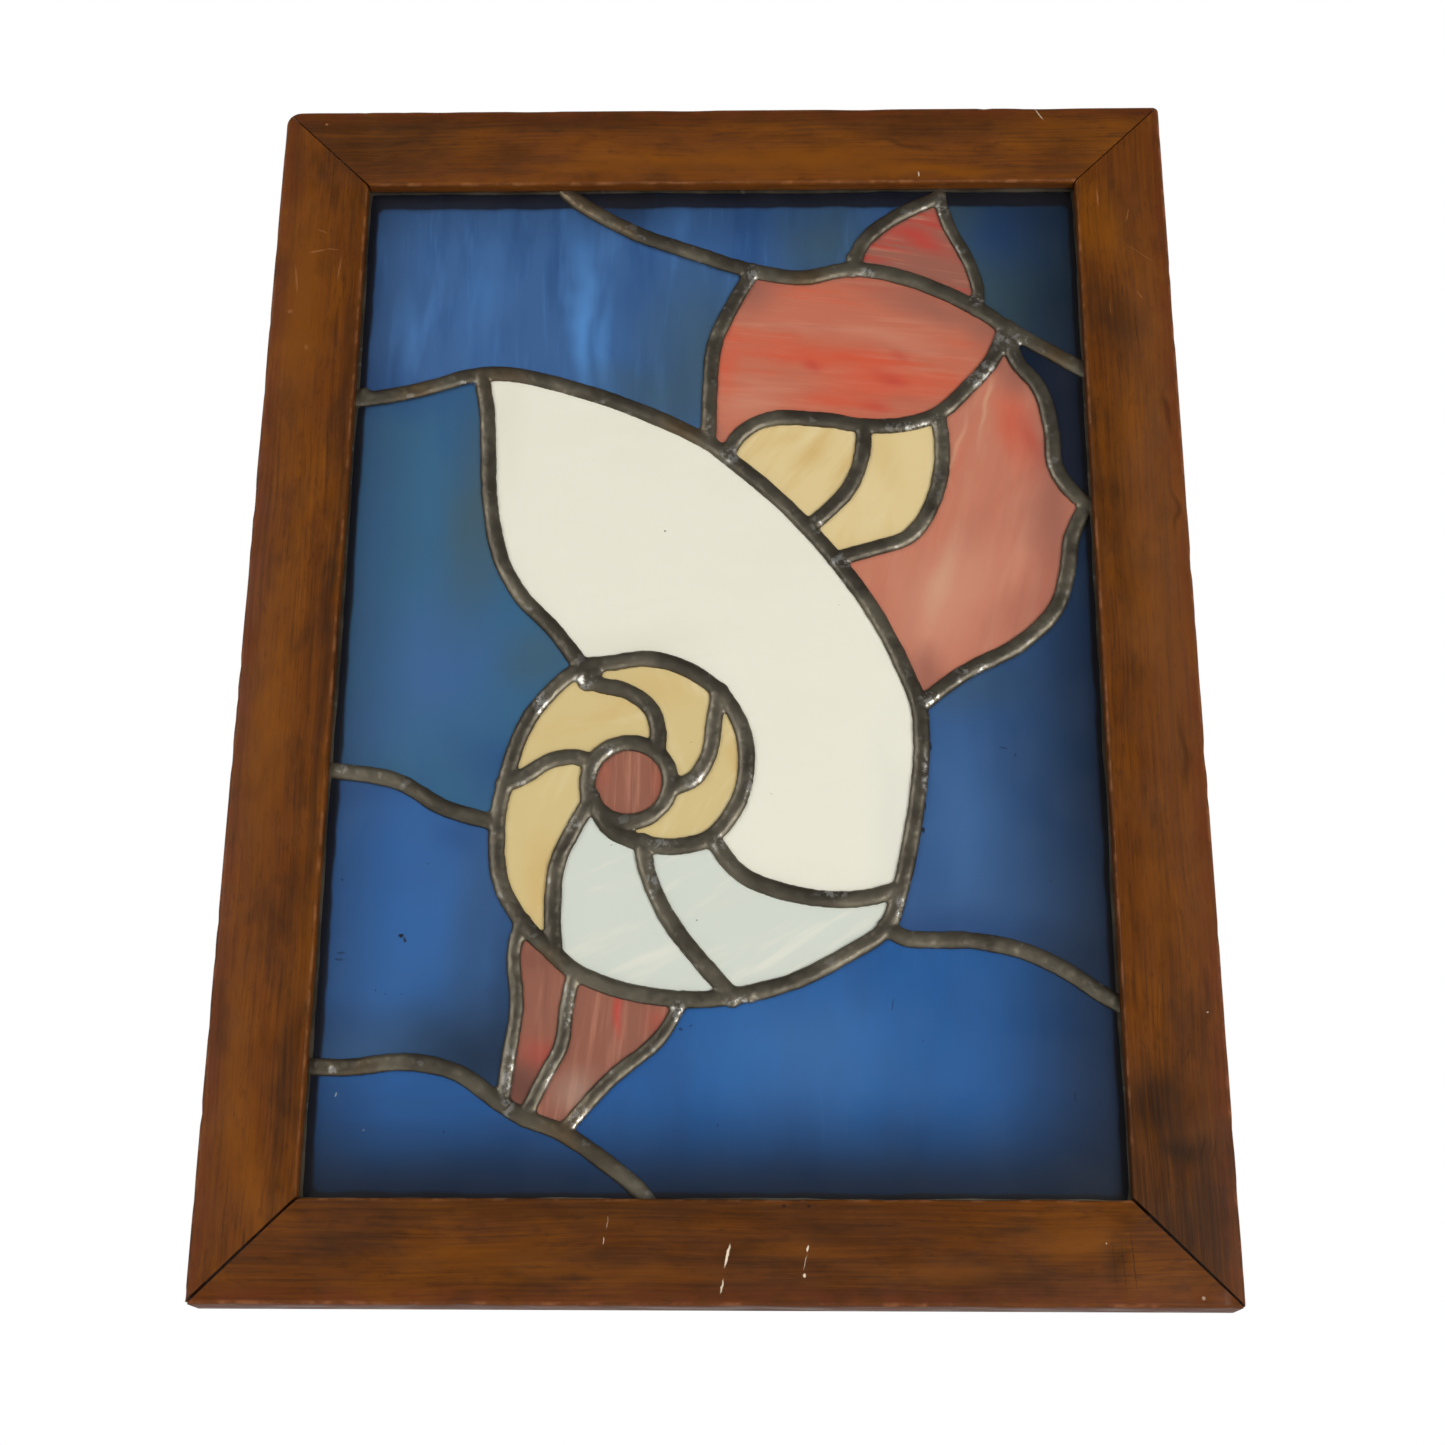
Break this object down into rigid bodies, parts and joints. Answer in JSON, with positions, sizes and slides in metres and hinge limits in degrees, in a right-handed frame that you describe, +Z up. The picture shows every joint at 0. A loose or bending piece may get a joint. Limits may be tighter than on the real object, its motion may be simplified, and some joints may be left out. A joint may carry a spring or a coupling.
{
  "type": "stained glass window",
  "caption": "Upright stained glass panel of a nautilus shell in blue water, in a mitred wooden frame.",
  "frame": {"origin": "middle of the top rail's back face, where the window is fixed to what it hangs on", "axes": "+Z up along the window's height, -Y towards the viewer of the decorated face, +X to that viewer's right"},
  "size_m": [0.381, 0.019, 0.508],
  "materials": {
    "stained_wood": "brown stained and varnished softwood, worn pale along the edges",
    "patinated_solder": "dark patinated solder bead with bright worn spots",
    "dark_putty": "dark set glazing putty",
    "blue_glass": "wispy translucent blue sheet glass",
    "white_glass": "opal white glass",
    "cream_glass": "opal cream glass with faint amber streaks",
    "red_glass": "streaky red-brown opal glass",
    "coral_glass": "streaky coral opal glass with red wisps"
  },
  "bodies": {
    "root": {"rail_top": "stained_wood", "rail_bottom": "stained_wood", "rail_left": "stained_wood", "rail_right": "stained_wood", "solder_lattice": "patinated_solder", "glazing_putty": "dark_putty", "glass_blue_upper_left": "blue_glass", "glass_blue_top": "blue_glass", "glass_blue_upper_right": "blue_glass", "glass_blue_right_sliver": "blue_glass", "glass_blue_left": "blue_glass", "glass_blue_lower_left": "blue_glass", "glass_blue_bottom_left": "blue_glass", "glass_blue_bottom": "blue_glass", "glass_blue_right": "blue_glass", "glass_shell_body": "white_glass", "glass_shell_chamber_right": "white_glass", "glass_shell_chamber_left": "white_glass", "glass_whorl_lower_left": "cream_glass", "glass_whorl_upper_left": "cream_glass", "glass_whorl_upper_right": "cream_glass", "glass_whorl_lower_right": "cream_glass", "glass_hood_inner_left": "cream_glass", "glass_hood_inner_right": "cream_glass", "glass_whorl_centre": "red_glass", "glass_tail_left": "red_glass", "glass_hood_crest": "coral_glass", "glass_hood_body": "coral_glass", "glass_hood_side": "coral_glass", "glass_tail_right": "coral_glass"}
  },
  "joints": []
}
